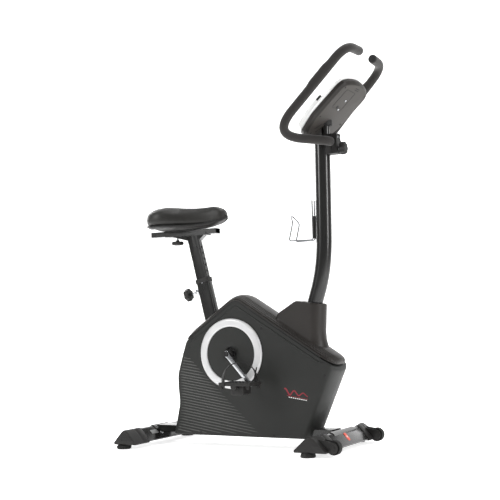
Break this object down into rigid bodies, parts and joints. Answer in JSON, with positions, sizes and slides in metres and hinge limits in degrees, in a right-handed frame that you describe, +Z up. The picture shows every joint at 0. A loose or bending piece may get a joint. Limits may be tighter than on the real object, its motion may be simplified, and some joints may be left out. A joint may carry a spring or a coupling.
{
  "type": "exercise bike",
  "caption": "Upright magnetic exercise bike with boxed-in drive, height-adjustable saddle, strapped pedals, curved foam-grip handlebar, tilted console and two arched floor stabilisers",
  "frame": {"origin": "middle of the footprint on the floor: centre of the bounding box in X and Y, the floor at Z = 0", "axes": "+X towards the handlebar and console, +Y to the rider's left, +Z up"},
  "size_m": [1.0218, 0.516, 1.4748],
  "materials": {
    "frame_paint": "satin black powder coat",
    "casing_plastic": "fine-grained black moulding",
    "cover_plastic": "smooth brown-black moulding",
    "silver_plastic": "silver painted plastic",
    "chrome_steel": "polished chrome plate",
    "bare_steel": "machined steel",
    "iron_grey": "cast and turned iron",
    "black_rubber": "matt moulded rubber",
    "grip_foam": "soft closed-cell foam",
    "saddle_vinyl": "soft grained vinyl",
    "console_white": "white satin moulding",
    "display_glass": "clear window over a grey display"
  },
  "bodies": {
    "frame": {"main_frame": "frame_paint", "front_stabilizer": "frame_paint", "rear_stabilizer": "frame_paint", "front_end_cap_right": "casing_plastic", "front_end_cap_left": "casing_plastic", "rear_end_cap_right": "casing_plastic", "rear_end_cap_left": "casing_plastic", "shell_right": "casing_plastic", "shell_left": "casing_plastic", "disc_cover_right": "casing_plastic", "disc_cover_left": "casing_plastic", "disc_ring_right": "silver_plastic", "disc_ring_left": "silver_plastic", "crank_bearing_right": "bare_steel", "crank_bearing_left": "bare_steel", "top_cover": "cover_plastic", "mast_cover": "cover_plastic", "drive_belt": "black_rubber", "tension_motor": "casing_plastic", "mast": "frame_paint", "console_bracket": "frame_paint", "console_back": "casing_plastic", "console_front": "console_white", "console_lens": "display_glass", "clamp_block": "frame_paint", "clamp_plate": "frame_paint", "bottle_cage": "chrome_steel"},
    "crankset": {"crank_spindle": "bare_steel", "drive_pulley": "casing_plastic", "crank_arm_right": "chrome_steel", "crank_arm_left": "chrome_steel", "pedal_axle_right": "bare_steel", "pedal_axle_left": "bare_steel"},
    "pedal_assembly_right": {"pedal_right": "black_rubber", "pedal_strap_right": "black_rubber"},
    "pedal_assembly_left": {"pedal_left": "black_rubber", "pedal_strap_left": "black_rubber"},
    "flywheel_assembly": {"flywheel": "iron_grey", "flywheel_axle": "bare_steel"},
    "idler_lever": {"idler_arm": "bare_steel"},
    "idler_roller": {"idler_wheel": "bare_steel"},
    "brake": {"magnet_bracket": "iron_grey"},
    "seat_stem": {"seat_post": "frame_paint"},
    "seat": {"seat_rail": "frame_paint", "saddle": "saddle_vinyl"},
    "slide_clamp": {"seat_slide_knob": "casing_plastic"},
    "seat_pin": {"seat_pin_knob": "casing_plastic"},
    "bars": {"handlebar": "frame_paint", "grip_right": "grip_foam", "grip_left": "grip_foam"},
    "tilt_clamp": {"tilt_knob": "casing_plastic"},
    "wheel_right": {"transport_wheel_right": "black_rubber"},
    "wheel_left": {"transport_wheel_left": "black_rubber"},
    "foot_right": {"level_foot_right": "black_rubber"},
    "foot_left": {"level_foot_left": "black_rubber"},
    "key_1": {"console_button_1": "black_rubber"},
    "key_2": {"console_button_2": "black_rubber"},
    "key_3": {"console_button_3": "black_rubber"},
    "key_4": {"console_button_4": "black_rubber"}
  },
  "joints": [
    {"name": "crank_spin", "type": "hinge", "parent": "frame", "child": "crankset", "pos_m": [-0.07188, 0, 0.358], "axis": [0, 1, 0], "continuous": true},
    {"name": "pedal_right_spin", "type": "hinge", "parent": "crankset", "child": "pedal_assembly_right", "pos_m": [0.02653, -0.19, 0.24479], "axis": [0, 1, 0], "continuous": true},
    {"name": "pedal_left_spin", "type": "hinge", "parent": "crankset", "child": "pedal_assembly_left", "pos_m": [-0.17029, 0.19, 0.47121], "axis": [0, 1, 0], "continuous": true},
    {"name": "flywheel_spin", "type": "hinge", "parent": "frame", "child": "flywheel_assembly", "pos_m": [0.15012, 0, 0.215], "axis": [0, 1, 0], "continuous": true},
    {"name": "idler_swing", "type": "hinge", "parent": "frame", "child": "idler_lever", "pos_m": [-0.01188, 0.03, 0.14], "axis": [0, 1, 0], "range_deg": [0, 8], "stiffness_Nm_per_rad": 0.6, "springref_deg": -11.46},
    {"name": "idler_spin", "type": "hinge", "parent": "idler_lever", "child": "idler_roller", "pos_m": [0.02372, 0.043, 0.1925], "axis": [0, 1, 0], "continuous": true},
    {"name": "brake_swing", "type": "hinge", "parent": "frame", "child": "brake", "pos_m": [0.10812, -0.05, 0.101], "axis": [0, 1, 0], "range_deg": [-6, 1]},
    {"name": "seat_height", "type": "slide", "parent": "frame", "child": "seat_stem", "axis": [-0.2334, 0, 0.9724], "range_m": [-0.12, 0.09]},
    {"name": "seat_fore_aft", "type": "slide", "parent": "seat_stem", "child": "seat", "axis": [1, 0, 0], "range_m": [-0.035, 0.035]},
    {"name": "seat_slide_clamp_turn", "type": "hinge", "parent": "seat_stem", "child": "slide_clamp", "pos_m": [-0.35388, 0, 0.812], "axis": [0, 0, 1], "range_deg": [-360, 0]},
    {"name": "seat_pin_pull", "type": "slide", "parent": "frame", "child": "seat_pin", "axis": [-0.9724, 0, -0.2334], "range_m": [0, 0.012], "stiffness_N_per_m": 800, "springref_m": -0.005},
    {"name": "handlebar_tilt", "type": "hinge", "parent": "frame", "child": "bars", "pos_m": [0.35212, 0, 1.144], "axis": [0, 1, 0], "range_deg": [-25, 3]},
    {"name": "tilt_clamp_turn", "type": "hinge", "parent": "frame", "child": "tilt_clamp", "pos_m": [0.37812, 0, 1.119], "axis": [1, 0, 0], "range_deg": [-360, 0]},
    {"name": "wheel_right_spin", "type": "hinge", "parent": "frame", "child": "wheel_right", "pos_m": [0.40612, -0.204, 0.034], "axis": [0, 1, 0], "continuous": true},
    {"name": "wheel_left_spin", "type": "hinge", "parent": "frame", "child": "wheel_left", "pos_m": [0.40612, 0.204, 0.034], "axis": [0, 1, 0], "continuous": true},
    {"name": "foot_right_turn", "type": "hinge", "parent": "frame", "child": "foot_right", "pos_m": [-0.47288, -0.23, 0.02], "axis": [0, 0, 1], "range_deg": [-180, 180]},
    {"name": "foot_left_turn", "type": "hinge", "parent": "frame", "child": "foot_left", "pos_m": [-0.47288, 0.23, 0.02], "axis": [0, 0, 1], "range_deg": [-180, 180]},
    {"name": "button_1_press", "type": "slide", "parent": "frame", "child": "key_1", "axis": [0.6691, 0, -0.7431], "range_m": [0, 0.002], "stiffness_N_per_m": 400, "springref_m": -0.001},
    {"name": "button_2_press", "type": "slide", "parent": "frame", "child": "key_2", "axis": [0.6691, 0, -0.7431], "range_m": [0, 0.002], "stiffness_N_per_m": 400, "springref_m": -0.001},
    {"name": "button_3_press", "type": "slide", "parent": "frame", "child": "key_3", "axis": [0.6691, 0, -0.7431], "range_m": [0, 0.002], "stiffness_N_per_m": 400, "springref_m": -0.001},
    {"name": "button_4_press", "type": "slide", "parent": "frame", "child": "key_4", "axis": [0.6691, 0, -0.7431], "range_m": [0, 0.002], "stiffness_N_per_m": 400, "springref_m": -0.001}
  ],
  "couplings": [
    {"joint": "flywheel_spin", "follows": "crank_spin", "ratio": 6.25}
  ]
}
